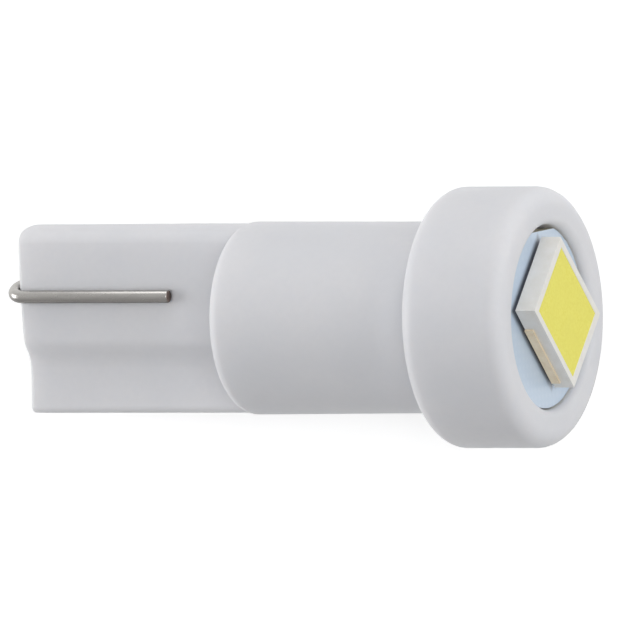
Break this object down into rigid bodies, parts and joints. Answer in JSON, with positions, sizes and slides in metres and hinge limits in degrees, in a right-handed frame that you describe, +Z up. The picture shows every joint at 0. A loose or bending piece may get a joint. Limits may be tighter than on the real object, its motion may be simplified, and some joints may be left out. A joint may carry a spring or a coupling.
{
  "type": "wedge base led bulb",
  "caption": "Small plug-in bulb with a white moulded body: flat stepped wedge base with folded contact wires, round neck and a wider round head holding a surface-mount LED.",
  "frame": {"origin": "on the surface the bulb lies on, under the middle of its bounding box", "axes": "+X runs along the bulb from the wedge base to the LED, level; +Z up; +Y across. The bulb's own axis rises toward the head, because the head is wider than the neck; the bulb lies on the rounded rear edges of both"},
  "size_m": [0.018, 0.0076, 0.0079],
  "materials": {
    "housing_white": "white moulded plastic, faint satin",
    "solder_mask": "pale blue-white solder mask",
    "tinned_wire": "dull tinned wire",
    "copper": "bare copper",
    "terminal_copper": "plated copper lead frame",
    "led_white": "white moulded package",
    "phosphor": "yellow phosphor in clear silicone",
    "die": "polished semiconductor",
    "solder": "solidified solder",
    "chip_ceramic": "glazed ceramic, dark top",
    "chip_cap": "tinned end cap"
  },
  "bodies": {
    "root": {"housing": "housing_white", "contact_wire_front": "tinned_wire", "contact_wire_rear": "tinned_wire", "circuit_board": "solder_mask", "via_anode": "copper", "via_cathode": "copper", "copper_front_anode": "copper", "led_terminal_anode": "terminal_copper", "copper_front_cathode": "copper", "led_terminal_cathode": "terminal_copper", "led_frame": "led_white", "led_phosphor": "phosphor", "led_die": "die", "led_solder_anode": "solder", "led_solder_cathode": "solder", "copper_back_feed": "copper", "copper_back_link": "copper", "copper_back_return": "copper", "resistor_ceramic": "chip_ceramic", "resistor_cap_link": "chip_cap", "resistor_solder_link": "solder", "resistor_cap_feed": "chip_cap", "resistor_solder_feed": "solder", "wire_joint_front": "solder", "wire_joint_rear": "solder"}
  },
  "joints": []
}
